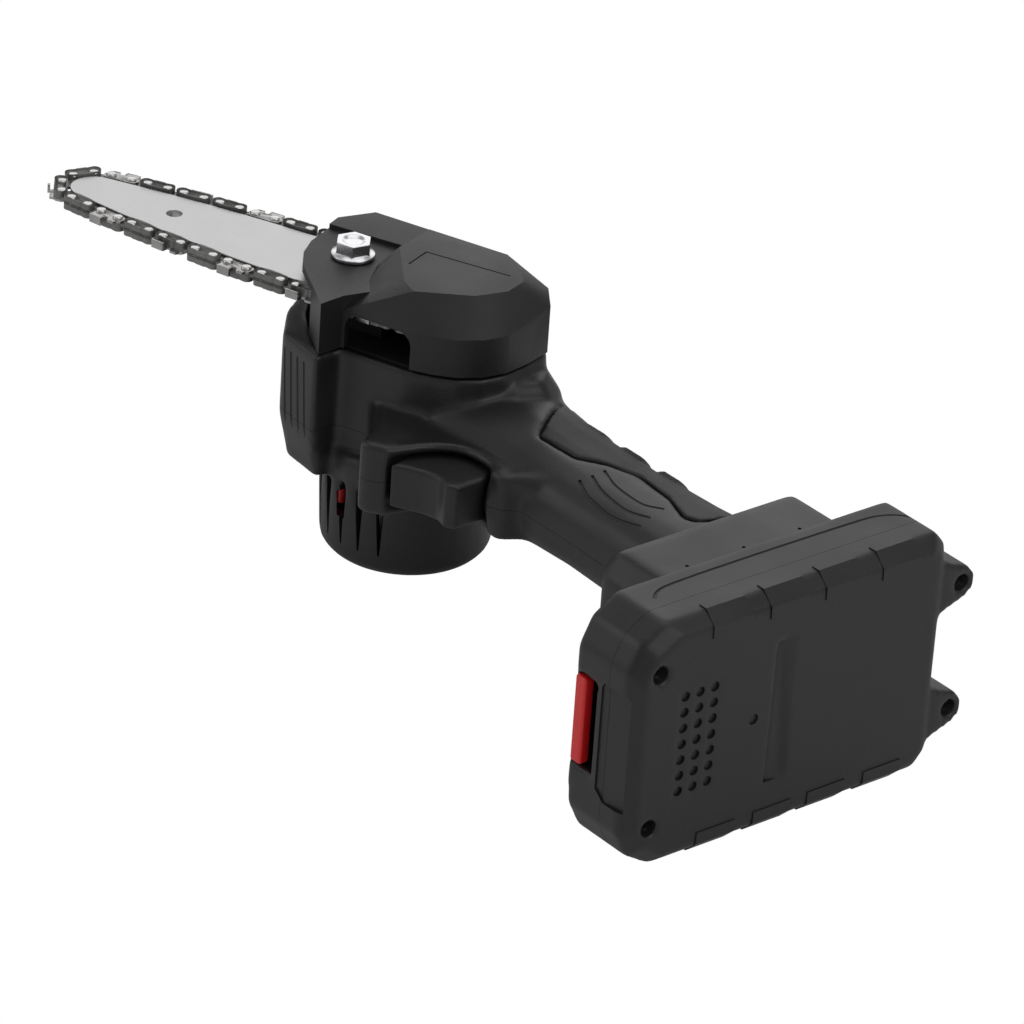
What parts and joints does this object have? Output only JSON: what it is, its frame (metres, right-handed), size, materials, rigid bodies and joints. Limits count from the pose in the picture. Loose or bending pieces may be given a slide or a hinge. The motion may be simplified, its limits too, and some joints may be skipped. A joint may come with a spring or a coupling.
{
  "type": "cordless mini chainsaw",
  "caption": "One-hand cordless mini chainsaw with short guide bar, saw chain under a bolted cover, pistol handle with trigger and slide-on battery, lying on its side.",
  "frame": {"origin": "middle of the bounding box at the floor", "axes": "+X along the guide bar to its tip, +Y toward the trigger, +Z out of the chain cover, up as it lies on its side"},
  "size_m": [0.3398, 0.1692, 0.0957],
  "materials": {
    "black_plastic": "fine textured black",
    "cover_plastic": "fine textured black",
    "battery_plastic": "fine textured black",
    "grip_rubber": "soft black",
    "red_plastic": "plain red",
    "brushed_bar": "brushed lengthways",
    "chain_steel": "dark oiled steel",
    "bright_zinc": "bright zinc",
    "gear_steel": "ground steel",
    "cast_aluminium": "as cast",
    "copper": "copper",
    "ferrite": "dark ferrite",
    "cell_wrap": "shrink film",
    "board_green": "solder mask"
  },
  "bodies": {
    "saw": {"housing_left": "black_plastic", "housing_right": "black_plastic", "sprocket_cover": "cover_plastic", "bar_plate": "cast_aluminium", "bar_clamp_bolt": "bright_zinc", "bearing_upper": "gear_steel", "bearing_lower": "gear_steel", "motor_plate": "cast_aluminium", "motor_can": "gear_steel", "motor_end_cap": "black_plastic", "motor_magnet_1": "ferrite", "motor_magnet_2": "ferrite", "motor_brush_1": "ferrite", "motor_brush_2": "ferrite", "motor_lead": "red_plastic", "trigger_spring": "bright_zinc", "trigger_switch": "battery_plastic", "grip_insert": "grip_rubber", "dock_terminals": "copper", "housing_screw_1": "bright_zinc", "housing_screw_2": "bright_zinc", "saw_chain": "chain_steel"},
    "bar": {"guide_bar": "brushed_bar"},
    "drive": {"output_shaft": "gear_steel", "drive_sprocket": "gear_steel", "drive_gear": "gear_steel", "snap_ring": "gear_steel"},
    "rotor": {"motor_rotor": "copper", "motor_pinion": "gear_steel"},
    "trigger": {"trigger": "black_plastic"},
    "battery": {"battery_upper_case": "battery_plastic", "battery_lower_case": "battery_plastic", "battery_board": "board_green", "battery_cell_1": "cell_wrap", "battery_cell_2": "cell_wrap", "battery_cell_3": "cell_wrap", "battery_cell_4": "cell_wrap", "battery_cell_5": "cell_wrap", "battery_screw_1": "bright_zinc", "battery_screw_2": "bright_zinc", "battery_screw_3": "bright_zinc", "battery_screw_4": "bright_zinc"},
    "release": {"release_button": "red_plastic"}
  },
  "joints": [
    {"name": "motor_spin", "type": "hinge", "parent": "saw", "child": "rotor", "pos_m": [0.03569, -0.05607, 0.063], "axis": [0, 0, 1], "continuous": true},
    {"name": "sprocket_spin", "type": "hinge", "parent": "saw", "child": "drive", "pos_m": [0.02069, -0.05607, 0.083], "axis": [0, 0, 1], "continuous": true},
    {"name": "bar_slide", "type": "slide", "parent": "saw", "child": "bar", "axis": [1, 0, 0], "range_m": [-0.004, 0]},
    {"name": "trigger_pull", "type": "slide", "parent": "saw", "child": "trigger", "axis": [-0.3338, -0.9426, 0], "range_m": [0, 0.006], "stiffness_N_per_m": 300},
    {"name": "battery_slide", "type": "slide", "parent": "saw", "child": "battery", "axis": [0.3338, 0.9426, 0], "range_m": [0, 0.075]},
    {"name": "release_press", "type": "slide", "parent": "battery", "child": "release", "axis": [-0.9426, 0.3338, 0], "range_m": [0, 0.004], "stiffness_N_per_m": 400}
  ],
  "couplings": [
    {"joint": "sprocket_spin", "follows": "motor_spin", "ratio": -0.33333}
  ]
}
